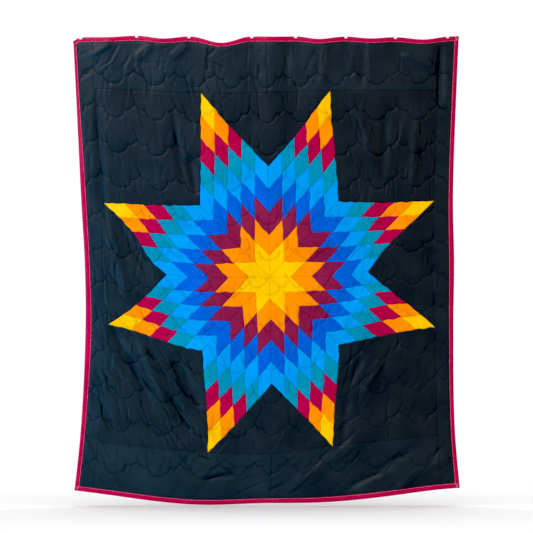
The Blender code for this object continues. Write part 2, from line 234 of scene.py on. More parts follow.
# finer creases, many of them on those folds, in the same columns
fineFolds = inMetres((
    (-888, 103, -790, 44, -6, 10),
    (-666, 108, -594, 41, -5, 9),
    (-640, 129, -506, 131, -2, 6),
    (-480, 98, -413, 31, -5, 9),
    (-294, 93, -253, 46, -4, 9),
    (-661, 119, -620, 212, -5, 8),
    (-470, 114, -398, 217, -5, 8),
    (-527, 222, -475, 300, -4, 8),
    (-320, 212, -284, 284, -4, 8),
    (-486, 377, -455, 573, -4, 9),
    (-480, 558, -424, 733, -5, 9),
    (-413, 615, -372, 780, -6, 14),
    (-785, 155, -733, 181, -4, 8),
    (-558, 134, -517, 170, -4, 8),
    (-915, 45, -905, 120, -3, 7),
    (-935, 181, -894, 145, -4, 8),
    (475, 52, 444, 191, -4, 10),
    (253, 72, 201, 181, -4, 10),
    (702, 98, 873, 134, -3, 10),
    (702, 98, 795, 227, -3, 10),
    (470, 424, 506, 511, -5, 9),
    (547, 413, 516, 578, 4, 9),
    (609, 444, 671, 630, -4, 9),
    (713, 424, 682, 578, 4, 9),
    (764, 475, 816, 682, -4, 9),
    (-821, 940, -770, 1126, -5, 10),
    (-790, 1064, -739, 1296, -4, 10),
    (-790, 1503, -708, 1668, -6, 10),
    (-708, 1648, -651, 1787, -6, 10),
    (-651, 1787, -594, 1839, -6, 10),
    (-651, 1555, -594, 1679, -5, 9),
    (-646, 1679, -553, 1865, -6, 10),
    (-563, 1710, -475, 1818, -5, 10),
    (-475, 1663, -398, 1839, -4, 12),
    (-398, 1839, -336, 1901, -4, 12),
    (-496, 1839, -398, 2020, -3.5, 10),
    (-821, 1746, -723, 1849, -5, 10),
    (-739, 1839, -620, 1957, -5, 10),
    (-863, 1854, -806, 1994, -5, 10),
    (-470, 1890, -341, 2058, -4.5, 10),
    (-506, 2014, -462, 2116, -5, 9),
    (-462, 2116, -377, 2216, -5, 9),
    (-646, 1870, -599, 2014, -5, 9),
    (449, 1653, 398, 1715, -4, 9),
    (501, 1648, 449, 1756, -5, 9),
    (604, 1653, 522, 1766, -5, 9),
    (395, 2355, 524, 2278, -6, 12),
    (524, 2278, 607, 2247, -6, 12),
    (625, 2329, 819, 2231, -6, 11),
    (819, 2231, 878, 2172, -6, 11),
    (692, 2314, 785, 2231, 5, 10),
    (340, 2348, 432, 2247, -5, 10),
    (-320, 2283, -196, 2252, -4, 10),
    (-413, 2335, -52, 2262, -3, 10),
    (-263, 2324, -21, 2231, 3, 12),
))


def foldRelief(x, drop, folds):
    # how far the folds lift each point towards the viewer
    relief = np.zeros_like(x)
    for x0, drop0, x1, drop1, lift, width in folds:
        length = math.hypot(x1 - x0, drop1 - drop0)
        reach = 3 * width + drape["foldOverrun"] * length
        near = (x > min(x0, x1) - reach) & (x < max(x0, x1) + reach)
        near &= (drop > min(drop0, drop1) - reach) & (drop < max(drop0, drop1) + reach)
        if not near.any():
            continue
        ux, ud = (x1 - x0) / length, (drop1 - drop0) / length
        dx, dd = x[near] - x0, drop[near] - drop0
        along = (dx * ux + dd * ud) / length
        off = dx * ud - dd * ux
        ends = smoothRise((along + drape["foldOverrun"]) / drape["foldTaper"])
        ends *= smoothRise((1 + drape["foldOverrun"] - along) / drape["foldTaper"])
        relief[near] += lift * ends * np.exp(-((off / width) ** 2))
    return relief


def broadRelief(across, down):
    swells = drape["swellDepth"] * betweenClips(across, [1.0] * (len(clipPlaces) - 1))
    swells *= np.exp(-down / drape["swellFade"])
    wave = 2 * math.pi * across / drape["hemWaveWidth"] + drape["hemWavePhase"]
    hem = drape["hemWaveDepth"] * np.sin(wave)
    hem *= smoothRise(1 - (cutHeight - down) / drape["hemWaveReach"])
    curl = smoothRise(1 - (across + halfWidth) / drape["curlWidth"])
    curl *= drape["curlDepth"] * smoothRise((drape["curlDrop"] - down) / drape["curlDrop"])
    return swells + hem - curl


def hungPlace(across, down):
    # where a flat point hangs, as x and drop below the origin
    strip = np.clip((across + halfWidth) / cut["sideStrip"], 0.0, 1.0)
    drawn = drape["curlPinch"] * smoothRise((drape["curlDrop"] - down) / drape["curlDrop"])
    drawnAcross = across - cut["sideStrip"] * drawn * np.sin(math.pi * strip)
    rows = stationShares(downStations, down)
    x = np.einsum("...r,rc,...c->...", rows, hungAcross, stationShares(acrossStations, drawnAcross))
    drop = np.einsum("...r,rc,...c->...", rows, hungDrop, stationShares(acrossStations, across))
    rim = np.minimum(halfWidth - np.abs(across), np.minimum(down, cutHeight - down))
    inside = smoothRise((rim - cut["bindingWidth"]) / drape["pullEdge"])
    shift, shiftDown = 0.0, 0.0
    for place, placeDrop, pull, pullDown, reach in unevenPulls:
        near = inside * np.exp(-((x - place) ** 2 + (drop - placeDrop) ** 2) / reach**2)
        shift, shiftDown = shift + pull * near, shiftDown + pullDown * near
    for waves, wavesDown, phase, pull, pullDown in puckers:
        wave = inside * np.sin(2 * math.pi * (waves * across + wavesDown * down) + phase)
        shift, shiftDown = shift + pull * wave, shiftDown + pullDown * wave
    drop = drop + shiftDown + edgeSag(across) * np.exp(-down / drape["sagFade"])
    return x + shift, drop


# rows of three-lobed scallops, the same as on the solids
quilting = {
    "motifWidth": 0.2054,
    "smallLobe": 0.016,
    "bigLobe": 0.075,
    "innerCusp": 0.027,
    "lobeSplit": 0.25,
    "fullness": 0.55,
    "squareness": 2.2,
    "underBinding": 0.001,  # the lines end this far under the binding
    "samples": 9001,
    "lineStep": 0.0015,
}
# flat drop of each row's cusps at the left, the middle and the right of the quilt
rowPlaces = (-0.82, 0.0, 0.82)
rowsDown = (
    (0.164, 0.171, 0.159),
    (0.325, 0.350, 0.333),
    (0.487, 0.520, 0.497),
    (0.651, 0.690, 0.658),
    (0.839, 0.852, 0.845),
    (1.058, 1.033, 1.031),
    (1.270, 1.206, 1.233),
    (1.490, 1.400, 1.430),
    (1.662, 1.588, 1.632),
    (1.823, 1.762, 1.811),
    (1.978, 1.940, 1.975),
    (2.188, 2.150, 2.176),
)


def scallop(across):
    # how far a quilting line dips below its cusps
    lobeSplit, innerCusp = quilting["lobeSplit"], quilting["innerCusp"]
    phase = (across / quilting["motifWidth"] + 0.5) % 1.0
    near = np.minimum(phase, 1.0 - phase)
    arch = np.sin(math.pi * np.clip(near / lobeSplit, 0, 1))
    small = quilting["smallLobe"] * np.maximum(arch, 0.0) ** quilting["fullness"]
    small += innerCusp * near / lobeSplit * (near <= lobeSplit)
    side = np.clip(np.abs(phase - 0.5) / (0.5 - lobeSplit), 0, 1)
    bulge = (1 - side ** quilting["squareness"]) ** quilting["fullness"]
    big = innerCusp + (quilting["bigLobe"] - innerCusp) * bulge
    return np.where(near < lobeSplit, small, big)


def evenSteps(points, step):
    # the same line with points a fixed step apart
    length = np.concatenate([[0.0], np.cumsum(np.linalg.norm(np.diff(points, axis=0), axis=1))])
    places = np.linspace(0.0, length[-1], max(2, int(round(length[-1] / step)) + 1))
    return np.stack([np.interp(places, length, column) for column in points.T], axis=1)


print("quilting lines and wrinkles")
lineStart = halfWidth - cut["bindingWidth"] + quilting["underBinding"]
denseAcross = np.linspace(-lineStart, lineStart, quilting["samples"])
quiltingLines = []
for drops in rowsDown:
    rowDown = np.interp(denseAcross, rowPlaces, drops) + scallop(denseAcross)
    quiltingLines.append(evenSteps(np.stack([denseAcross, rowDown], axis=1), quilting["lineStep"]))
linePoints = np.concatenate(quiltingLines)
lineTree = KDTree(len(linePoints))
for number, (across, down) in enumerate(linePoints.tolist()):
    lineTree.insert((across, down, 0.0), number)
lineTree.balance()


# small wrinkles: how many, their sizes, and the way that the cloth is pulled in each region
wrinkles = {
    "seed": 11,
    "count": 950,
    "across": (-0.97, 0.97),
    "drop": (0.05, 2.33),
    "length": (0.04, 0.15),
    "halfWidth": (0.0045, 0.011),
    "lift": 0.0019,
    "liftShare": (0.35, 1.0),
    "ways": (-1, -1, 1),  # two troughs for each ridge
    "scatter": 18.0,  # degrees
    "besideWidths": 1.7,  # a fold the other way lies this many half widths beside each
    "besideShare": 0.6,
    "cuspLift": 0.0017,
    "cuspShare": (0.4, 1.0),
    "cuspPull": 0.0019,  # least depth of the folds that run up from the upper cusps
    "cuspLength": (0.03, 0.08),
    "cuspHalfWidth": 0.0046,
    "cuspScatter": 12.0,
    "cuspChances": (1.0, 0.75, 0.55),  # up from an upper cusp, up from a lower one, down
    "cuspEdge": 0.05,  # no such folds this close to the sides
    "pullReach": 0.22,
    # across, drop, lean from upright in degrees (positive runs down to the right), strength
    "pull": (
        (-0.85, 0.06, -55, 1.1),
        (-0.60, 0.07, -50, 1.1),
        (-0.30, 0.08, -25, 0.8),
        (0.00, 0.10, 0, 0.4),
        (0.30, 0.10, 5, 0.6),
        (0.55, 0.10, 0, 0.6),
        (0.80, 0.12, 60, 0.6),
        (-0.65, 0.30, 28, 0.7),
        (-0.45, 0.30, 26, 0.7),
        (0.10, 0.35, 0, 0.3),
        (0.55, 0.30, 5, 0.5),
        (-0.65, 0.60, 6, 0.3),
        (-0.42, 0.60, 6, 0.9),
        (-0.35, 1.00, 35, 0.9),
        (-0.35, 1.40, 40, 0.9),
        (0.35, 1.00, -15, 0.6),
        (0.35, 1.40, -25, 0.7),
        (0.00, 1.05, 8, 0.6),
        (0.00, 1.50, 15, 0.7),
        (-0.86, 0.60, 2, 0.9),
        (0.50, 0.50, 12, 0.5),
        (0.75, 0.60, -2, 0.4),
        (0.00, 0.75, 0, 0.5),
        (-0.75, 1.10, 15, 1.0),
        (0.00, 1.25, 25, 0.6),
        (0.80, 1.20, 2, 0.5),
        (-0.75, 1.60, 25, 1.4),
        (-0.50, 1.75, 30, 1.6),
        (-0.45, 1.95, 28, 1.6),
        (-0.75, 1.95, 30, 1.3),
        (0.00, 1.80, 5, 0.7),
        (0.50, 1.75, -27, 0.8),
        (0.75, 1.90, -30, 0.6),
        (-0.80, 2.20, 10, 0.8),
        (-0.25, 2.30, -72, 0.6),
        (0.30, 2.20, -56, 0.8),
        (0.75, 2.20, -58, 0.8),
    ),
}


def pullAt(x, drop):
    # lean and strength of the pull near a hung point
    rows = np.array(wrinkles["pull"], float)
    gap = np.hypot(rows[:, 0] - x, rows[:, 1] - drop) / wrinkles["pullReach"]
    weight = np.exp(-gap**2) + 1e-6
    lean, strength = (rows[:, 2:] * weight[:, None]).sum(0) / weight.sum()
    return math.radians(lean), strength


def smallFolds():
    # seeded wrinkles over the whole cloth, and short tension folds at the cusps of the quilting
    random = np.random.default_rng(wrinkles["seed"])
    folds, atCusps = [], []
    for _ in range(wrinkles["count"]):
        x, drop = random.uniform(*wrinkles["across"]), random.uniform(*wrinkles["drop"])
        lean, strength = pullAt(x, drop)
        lean += math.radians(random.normal(0.0, wrinkles["scatter"]))
        half = random.uniform(*wrinkles["length"]) / 2
        width = random.uniform(*wrinkles["halfWidth"])
        lift = wrinkles["lift"] * strength * random.uniform(*wrinkles["liftShare"])
        lift *= random.choice(wrinkles["ways"])
        dx, dd = half * math.sin(lean), half * math.cos(lean)
        folds.append((x - dx, drop - dd, x + dx, drop + dd, lift, width))
        # a ridge beside each trough or the other way round, as where cloth is pushed together
        side = wrinkles["besideWidths"] * width
        sx, sd = side * math.cos(lean), -side * math.sin(lean)
        folds.append((x - dx + sx, drop - dd + sd, x + dx + sx, drop + dd + sd,
                      -wrinkles["besideShare"] * lift, width))
    motif, split = quilting["motifWidth"], quilting["lobeSplit"]
    motifs = math.ceil(halfWidth / motif)
    upFromUpper, upFromLower, downwards = wrinkles["cuspChances"]
    for drops in rowsDown:
        for place, share in itertools.product(range(-motifs, motifs + 1), (0.0, split, 1 - split)):
            across = (place - 0.5 + share) * motif
            if abs(across) > halfWidth - wrinkles["cuspEdge"]:
                continue
            isLower = share > 0
            down = np.interp(across, rowPlaces, drops) + isLower * quilting["innerCusp"]
            x, drop = (float(v) for v in hungPlace(np.array(across), np.array(down)))
            lean, strength = pullAt(x, drop)
            for way, chance in ((-1, upFromLower if isLower else upFromUpper), (1, downwards)):
                tilt = lean + math.radians(random.normal(0.0, wrinkles["cuspScatter"]))
                length = random.uniform(*wrinkles["cuspLength"])
                lift = -wrinkles["cuspLift"] * strength * random.uniform(*wrinkles["cuspShare"])
                if way < 0 and not isLower:
                    lift = min(lift, -wrinkles["cuspPull"])
                if random.random() < chance:
                    atCusps.append((x, drop, x + way * length * math.sin(tilt),
                                    drop + way * length * math.cos(tilt),
                                    lift, wrinkles["cuspHalfWidth"]))
    return folds, atCusps


scatteredFolds, cuspFolds = smallFolds()

# creases placed one by one, in millimetres: across and drop of each point in turn
creaseLines = {
    "sharp": (
        (-839, 899, -816, 1002, -790, 1095), (-692, 1642, -651, 1741, -599, 1818, -573, 1870),
        (-496, 1859, -444, 1947, -393, 2025, -356, 2061), (-460, 2138, -393, 2221),
        (-351, 2154, -284, 2180), (501, 83, 509, 124), (695, 72, 692, 165), (475, 424, 498, 517),
        (682, 413, 687, 475, 679, 532), (795, 434, 801, 501), (801, 568, 811, 640),
        (434, 568, 455, 656), (480, 620, 517, 687), (842, 702, 852, 837), (622, 749, 609, 821),
        (661, 723, 666, 837), (434, 754, 436, 806), (-297, 46, -302, 88),
        (-274, 127, -243, 142, -214, 158), (-320, 212, -302, 248, -284, 284), (-93, 36, -101, 165),
        (-72, 36, -62, 62), (-46, 258, -41, 320, -36, 413), (103, 88, 101, 124),
        (150, 227, 165, 279, 158, 372), (305, 62, 294, 124), (114, 294, 114, 320),
        (444, 1586, 434, 1673, 418, 1741, 398, 1808), (635, 1844, 625, 1896, 620, 1973),
        (635, 1999, 630, 2076), (883, 2143, 852, 2185, 832, 2211, 801, 2247, 754, 2298, 713, 2324),
        (-336, 2154, -284, 2180), (-67, 2076, -57, 2128), (-191, 2195, -150, 2221),
        (21, 2231, 31, 2252), (124, 2107, 139, 2128), (248, 2247, 217, 2273, 176, 2314, 134, 2345),
        (873, 1095, 878, 1126), (682, 1534, 682, 1586),
    ),
    "fine": (
        (-806, 940, -754, 1069), (-842, 899, -844, 1121, -837, 1353), (-790, 1095, -764, 1302),
        (-718, 1018, -697, 1095), (-666, 1131, -620, 1224), (-677, 1653, -635, 1756, -599, 1828),
        (-630, 1668, -547, 1792, -506, 1839), (-547, 1715, -470, 1792),
        (-832, 1735, -790, 1808, -744, 1844), (-863, 1844, -842, 1958, -806, 2035),
        (-656, 1828, -635, 1906, -604, 1999, -584, 2035), (-547, 1896, -455, 1983),
        (-511, 2014, -470, 2102, -429, 2138), (-377, 2066, -315, 2138), (-315, 2283, -227, 2262),
        (-857, 2257, -837, 2309), (-733, 2309, -713, 2335), (-677, 2335, -609, 2314),
        (-919, 1947, -857, 1958), (-919, 2056, -857, 2066), (-919, 2180, -857, 2174),
        (702, 114, 770, 217), (739, 155, 775, 227), (873, 46, 857, 165), (863, 227, 857, 310),
        (816, 413, 832, 465), (863, 475, 852, 568, 863, 620), (408, 527, 418, 620),
        (418, 620, 444, 682, 465, 713), (640, 733, 630, 826), (465, 733, 488, 832),
        (671, 682, 682, 713), (888, 294, 899, 362), (770, 759, 754, 826), (801, 656, 816, 692),
        (-305, 98, -269, 67), (-382, 207, -356, 253), (-31, 62, -21, 83), (-77, 129, -62, 201),
        (-98, 207, -96, 284), (-62, 217, -52, 279), (108, 124, 111, 165), (150, 41, 139, 72),
        (103, 207, 114, 248), (341, 41, 310, 93), (294, 124, 294, 155), (305, 207, 297, 258),
        (-31, 537, -28, 568), (465, 1673, 455, 1741, 429, 1808), (491, 1611, 470, 1689),
        (486, 1782, 475, 1870, 460, 1947), (527, 1828, 496, 1880, 475, 1932),
        (708, 1611, 702, 1663), (517, 2087, 470, 2154, 434, 2216), (640, 2211, 615, 2242),
        (656, 2195, 630, 2231), (878, 1715, 904, 1751, 935, 1761), (837, 1766, 878, 1751),
        (914, 1792, 930, 1828), (883, 2087, 883, 2154), (878, 2133, 930, 2107),
        (723, 2138, 733, 2154), (-325, 2283, -232, 2262, -186, 2273), (-253, 2154, -248, 2205),
        (77, 2025, 77, 2066), (-134, 2035, -139, 2076),
        (77, 2273, -21, 2293, -98, 2329, -155, 2360), (289, 2273, 243, 2314),
        (413, 2242, 356, 2293, 320, 2350), (176, 2324, 114, 2355), (816, 1095, 811, 1198),
        (847, 1095, 832, 1198), (821, 1240, 852, 1312), (894, 1224, 883, 1327),
    ),
    "faint": (
        (-728, 1870, -666, 1932), (-522, 2386, -418, 2293), (-393, 2386, -279, 2273),
        (-919, 1730, -863, 1735), (-919, 1782, -863, 1792), (-837, 2203, -517, 2203),
        (713, 114, 847, 139), (532, 424, 568, 517), (718, 656, 708, 713), (780, 578, 759, 692),
        (253, 207, 248, 248), (77, 294, 88, 341), (806, 1637, 790, 1741), (837, 1689, 795, 1844),
        (713, 2205, 687, 2242, 646, 2273), (754, 2185, 702, 2231), (821, 914, 816, 1095),
    ),
    "broad": (
        (-496, 1663, -393, 1870), (-305, 103, -300, 165), (-36, 139, -31, 196),
        (630, 1637, 578, 1756), (465, 2025, 418, 2076, 372, 2112),
        (594, 2242, 506, 2283, 434, 2314), (-341, 2040, -315, 2128), (98, 2298, 10, 2340),
    ),
}
# depth and half width of each kind of crease, and how dark its painted shade is
creaseKinds = {
    "sharp": (0.0032, 0.0042, 0.75),
    "fine": (0.0025, 0.0040, 0.55),
    "faint": (0.0018, 0.0040, 0.30),
    "broad": (0.0040, 0.0085, 0.50),
}

# painted shade: darker where the cloth lies in the shade of its own stitching, seams, creases and
# wrinkles
pinch = {
    "line": 0.9,
    "lineReach": 0.0026,
    "starLine": 0.50,  # the painted shade of stitched lines is fainter and softer over the star
    "starReach": 0.0045,
    "rightCalm": 0.38,  # all the painted shade is this much weaker towards the right edge
    "calmStart": 0.2,  # left of the middle, as a share of the half width
    "seam": 0.7,
    "seamReach": 0.0026,
    "fold": 0.35,
    "foldWidth": 0.0055,
    "foldDepth": 0.007,
    "creaseWidth": 0.85,  # share of the crease's own half width
    "wrinkle": 0.32,
    "cusp": 0.75,
    "cuspDepth": 0.0022,
}
# each straight part of a crease, as a trough for the cloth and as a band of painted shade
creaseTroughs, paintedCreaseShades = [], []
for kind, lines in creaseLines.items():
    depth, width, shade = creaseKinds[kind]
    for line in inMetres(lines):
        places = list(zip(line[0::2], line[1::2]))
        for start, end in zip(places[:-1], places[1:]):
            creaseTroughs.append((*start, *end, -depth, width))
            paintedCreaseShades.append((*start, *end, shade, width * pinch["creaseWidth"]))


def nearestLine(across, down):
    # nearest point of the quilting to each flat point, and how far it is
    flat = np.stack([across, down, np.zeros_like(across)], axis=1)
    found = [lineTree.find(place) for place in flat.tolist()]
    index = np.array([hit[1] for hit in found])
    return linePoints[index], np.array([hit[2] for hit in found])


def paintedShadeAt(across, down, toLine, seam, ofStar):
    # from 0 to 1: how much painted shade darkens a point in a stitched line, a seam, a crease or a
    # wrinkle
    x, drop = hungPlace(across, down)
    troughs = [(*fold[:4], -fold[4], pinch["foldWidth"]) for fold in fineFolds if fold[4] < 0]
    shade = pinch["fold"] * np.clip(foldRelief(x, drop, troughs) / pinch["foldDepth"], 0, 1)
    shade = np.maximum(shade, np.clip(foldRelief(x, drop, paintedCreaseShades), 0, 1))
    wrinkle = np.clip(-foldRelief(x, drop, scatteredFolds) / wrinkles["lift"], 0, 1)
    cusp = np.clip(-foldRelief(x, drop, cuspFolds) / pinch["cuspDepth"], 0, 1)
    depth, reach = ("starLine", "starReach") if ofStar else ("line", "lineReach")
    line = pinch[depth] * np.exp(-toLine / pinch[reach])
    seamShade = pinch["seam"] * np.exp(-((seam / pinch["seamReach"]) ** 2))
    shade = shade + pinch["wrinkle"] * wrinkle + pinch["cusp"] * cusp
    calm = 1 - pinch["rightCalm"] * smoothRise(across / halfWidth + pinch["calmStart"])
    return calm * np.clip(np.maximum(line, seamShade) + shade, 0, 1)


# layers of the sewn quilt, in metres
layers = {
    "halfSeam": 0.0013,  # half the thickness where it is stitched through
    "frontPuff": 0.0027,  # loft between the quilting lines
    "backPuff": 0.0026,
    "puffReach": 0.0070,
    "puffFade": 0.014,
    "seamSink": 0.0012,  # patch seams lie this much lower
    "seamReach": 0.0026,
    "swayFrom": (-0.013, 0.014),  # beyond these depths the folds grow more slowly
    "swayRoom": (0.007, 0.009),
}


def middlePoints(across, down):
    # the hung middle surface with all its folds
    x, drop = hungPlace(across, down)
    near, full = drape["clipClear"]
    fade = smoothRise((down - near) / (full - near))
    y = -foldRelief(x, drop, mainFolds) - broadRelief(across, down)
    y -= fade * drape["fineShare"] * foldRelief(x, drop, fineFolds)
    for folds in (scatteredFolds, cuspFolds, creaseTroughs):
        y -= fade * foldRelief(x, drop, folds)
    for side, limit, room in zip((-1, 1), layers["swayFrom"], layers["swayRoom"]):
        over = np.maximum(side * (y - limit), 0.0)
        y -= side * (over - room * np.tanh(over / room))
    return np.stack([x, y, -drop], axis=-1)


def clothPoints(across, down, toLine, seam, face):
    # face is -1 for the patchwork side and 1 for the backing
    points = middlePoints(across, down)
    rim = np.minimum(halfWidth - np.abs(across), np.minimum(down, cutHeight - down))
    fade = smoothRise((rim - cut["bindingWidth"]) / layers["puffFade"])
    puff = layers["frontPuff"] if face < 0 else layers["backPuff"]
    loft = puff * (1 - np.exp(-toLine / layers["puffReach"])) * fade
    sink = layers["seamSink"] * np.exp(-((seam / layers["seamReach"]) ** 2))
    points[..., 1] += face * (layers["halfSeam"] + loft - sink)
    return points


# shader sums: a socket of a node tree that can be used in plain expressions
class Shade:
    def __init__(self, tree, socket=None):
        self.tree = tree
        self.socket = socket

    def node(self, kind, settings=None, values=None, output=0):
        made = self.tree.nodes.new(kind)
        for name, value in (settings or {}).items():
            if name != "stops":
                setattr(made, name, value)
                continue
            ramp = made.color_ramp
            while len(ramp.elements) < len(value):
                ramp.elements.new(0.5)
            for element, (place, colour) in zip(ramp.elements, value):
                element.position = place
                element.color = (*colour, 1.0)
        for name, value in (values or {}).items():
            if isinstance(value, Shade):
                self.tree.links.new(value.socket, made.inputs[name])
            else:
                made.inputs[name].default_value = value
        return Shade(self.tree, made.outputs[output])

    def sum(self, operation, *terms):
        return self.node("ShaderNodeMath", {"operation": operation}, dict(enumerate(terms)))

    def __add__(self, other):
        return self.sum("ADD", self, other)

    def __sub__(self, other):
        return self.sum("SUBTRACT", self, other)

    def __mul__(self, other):
        return self.sum("MULTIPLY", self, other)

    def __rsub__(self, other):
        return self.sum("SUBTRACT", other, self)

    __radd__ = __add__


def blank(name):
    # a new material, its shader, and a start for shader sums
    material = bpy.data.materials.new(name)
    material.use_nodes = True
    tree = material.node_tree
    return material, tree.nodes["Principled BSDF"], Shade(tree)


def feed(shader, **links):
    # links sums to the shader's sockets, whose names have their spaces taken out
    for socket in shader.inputs:
        value = links.get(socket.name.replace(" ", ""))
        if value is not None:
            value.tree.links.new(value.socket, socket)


# cotton of the patchwork, binding and backing
cotton = {
    "threadPitch": 0.00045,
    "weaveDepth": 0.00006,
    "rumpleSize": 0.014,
    "rumpleDepth": 0.0011,
    "cloudSize": 0.16,
    "slubSize": 0.0022,
    "toneShares": (0.7, 0.3),  # of the clouds and the slubs
    "deep": 0.86,
    "light": 1.12,
    "roughness": 0.60,
    "roughnessSpread": 0.10,
    "specular": 0.12,
    "pinchShade": 0.26,  # how much darker the painted shade makes the cloth in stitched lines, seams and creases
    # no painted sheen on this cloth
    "fade": None,
}
# the black cloth has a painted bluish sheen: it is a little bluer and lighter towards its left and
# lower side
satin = dict(cotton, roughness=0.5, specular=0.20, pinchShade=0.34, fade=(1.0, 1.34, 1.50),
             fadeAcross=(-0.5, 0.5), fadeDown=(0.16, 0.65))
# colours are linear; darker is where the dye lies heavier
cottonColours = {
    "black": (0.0212, 0.0242, 0.0282),
    "stripBlack": (0.0222, 0.0278, 0.0335),
    "yellow": (0.957, 0.508, 0.014),
    "orange": (0.955, 0.262, 0.014),
    "wine": (0.240, 0.027, 0.069),
    "royal": (0.0145, 0.117, 0.558),
    "azure": (0.0145, 0.288, 0.727),
    "teal": (0.0145, 0.257, 0.397),
    "crimson": (0.406, 0.016, 0.068),
}
satinColours = ("black", "stripBlack")


def clothMaterial(name, colour, finish):
    material, shader, start = blank(name)
    flat = start.node("ShaderNodeUVMap", {"uv_map": "flat"})
    across = start.node("ShaderNodeSeparateXYZ", {}, {0: flat}, 0)
    down = start.node("ShaderNodeSeparateXYZ", {}, {0: flat}, 1)
    turn = 2 * math.pi / finish["threadPitch"]
    weave = start.sum("SINE", across * turn) * start.sum("SINE", down * turn)

    def cloud(size, detail, stretch=(1.0, 1.0, 1.0)):
        place = start.node("ShaderNodeMapping", {}, {"Vector": flat, "Scale": stretch})
        noise = {"Vector": place, "Scale": 1 / size, "Detail": detail, "Roughness": 0.55}
        return start.node("ShaderNodeTexNoise", {"noise_dimensions": "2D"}, noise)

    broad = cloud(finish["cloudSize"], 3.0)
    slub = cloud(finish["slubSize"], 2.0, (1.0, 0.18, 1.0))
    rumple = cloud(finish["rumpleSize"], 4.0, (1.0, 0.7, 1.0))
    broadShare, slubShare = finish["toneShares"]
    tone = broad * broadShare + slub * slubShare
    deep = tuple(finish["deep"] * c for c in colour)
    light = tuple(min(1.0, finish["light"] * c + 0.001) for c in colour)
    stops = {"stops": ((0.3, deep), (0.7, light))}
    dyed = start.node("ShaderNodeValToRGB", stops, {"Fac": tone})
    if finish["fade"]:
        # painted sheen: lighter and bluer from the right edge to the left one, and most of all in the
        # lower left corner
        slope, middle = finish["fadeAcross"]
        slopeDown, top = finish["fadeDown"]
        lean = (across * slope + middle) * (down * slopeDown + top)
        mixed = {0: lean, 4: (1.0, 1.0, 1.0), 5: finish["fade"]}
        paintedSheen = start.node("ShaderNodeMix", {"data_type": "VECTOR"}, mixed, 1)
        dyed = start.node("ShaderNodeVectorMath", {"operation": "MULTIPLY"}, {0: dyed, 1: paintedSheen})
    # painted shade from the mesh's attribute darkens the base colour in stitched lines, seams, creases
    # and wrinkles
    paintedShadeAmount = start.node("ShaderNodeAttribute", {"attribute_name": "pinch"}, {}, 2)
    lit = 1.0 - paintedShadeAmount * finish["pinchShade"]
    feed(
        shader,
        BaseColor=start.node("ShaderNodeVectorMath", {"operation": "SCALE"}, {0: dyed, "Scale": lit}),
        Roughness=finish["roughness"] + (tone - 0.5) * finish["roughnessSpread"],
        Normal=start.node("ShaderNodeBump", {}, {
            "Strength": 0.6,
            "Distance": 1.0,
            "Height": rumple * finish["rumpleDepth"] + weave * finish["weaveDepth"],
        }),
    )
    shader.inputs["Specular IOR Level"].default_value = finish["specular"]
    return material


# sewing thread; the twist shows as a fine change of tone
threads = {
    "quilting": {"colour": (0.014, 0.017, 0.021), "roughness": 0.7},
    "topstitch": {"colour": (0.86, 0.62, 0.56), "roughness": 0.5},
    "tack": {"colour": (0.86, 0.82, 0.80), "roughness": 0.5},
}


def threadMaterial(name, finish):
    material, shader, start = blank(name)
    place = start.node("ShaderNodeTexCoord", {}, {}, 3)
    twist = start.node("ShaderNodeTexNoise", {}, {"Vector": place, "Scale": 1400.0, "Detail": 1.0})
    deep = tuple(0.78 * c for c in finish["colour"])
    light = tuple(min(1.0, 1.15 * c) for c in finish["colour"])
    stops = {"stops": ((0.35, deep), (0.65, light))}
    feed(
        shader,
        BaseColor=start.node("ShaderNodeValToRGB", stops, {"Fac": twist}),
        Roughness=finish["roughness"] + (twist - 0.5) * 0.2,
    )
    return material


def plasticMaterial(name, colour):
    material, shader, start = blank(name)
    place = start.node("ShaderNodeTexCoord", {}, {}, 3)
    grain = start.node("ShaderNodeTexNoise", {}, {"Vector": place, "Scale": 900.0, "Detail": 2.0})
    haze = start.node("ShaderNodeTexNoise", {}, {"Vector": place, "Scale": 90.0, "Detail": 2.0})
    deep = tuple(0.90 * c for c in colour)
    stops = {"stops": ((0.3, deep), (0.7, colour))}
    feed(
        shader,
        BaseColor=start.node("ShaderNodeValToRGB", stops, {"Fac": haze}),
        Roughness=0.38 + (haze - 0.5) * 0.12,
        Normal=start.node("ShaderNodeBump", {}, {"Strength": 0.3, "Distance": 0.0001, "Height": grain}),
    )
    shader.inputs["Subsurface Weight"].default_value = 0.1
    shader.inputs["Subsurface Radius"].default_value = (0.002, 0.002, 0.002)
    return material


print("materials")
cottons = {name: clothMaterial(name + "Cotton", colour, satin if name in satinColours else cotton)
           for name, colour in cottonColours.items()}
bindingFinish = dict(cotton, roughness=0.5, specular=0.18, rumpleDepth=0.0005)
bindingCotton = clothMaterial("bindingCotton", (0.445, 0.013, 0.073), bindingFinish)
threadMaterials = {name: threadMaterial(name + "Thread", finish) for name, finish in threads.items()}
clipPlastic = plasticMaterial("clipPlastic", (0.84, 0.83, 0.78))


def link(name, data):
    obj = bpy.data.objects.new(name, data)
    scene.collection.objects.link(obj)
    return obj


# mesh lines of one patch, closer together beside its seams
fineness = {
    "seamSteps": (0.0024, 0.0062),
    "cellsPerPatch": 24,
    "stripCell": 0.0047,
    "backCell": 0.0105,
    "armSnap": 0.0016,  # points this close to a quilting line move onto it
    "groundSnap": 0.0022,
    "backSnap": 0.0048,
    "seamClear": 2.2,  # but not points within this many such reaches of a seam
}


def giveFlat(mesh, flat):
    # the flat place of each point becomes the cloth's UV map
    corner = np.empty(len(mesh.loops), np.int32)
    mesh.loops.foreach_get("vertex_index", corner)
    mesh.uv_layers.new(name="flat").data.foreach_set("uv", flat[corner].astype(np.float32).ravel())


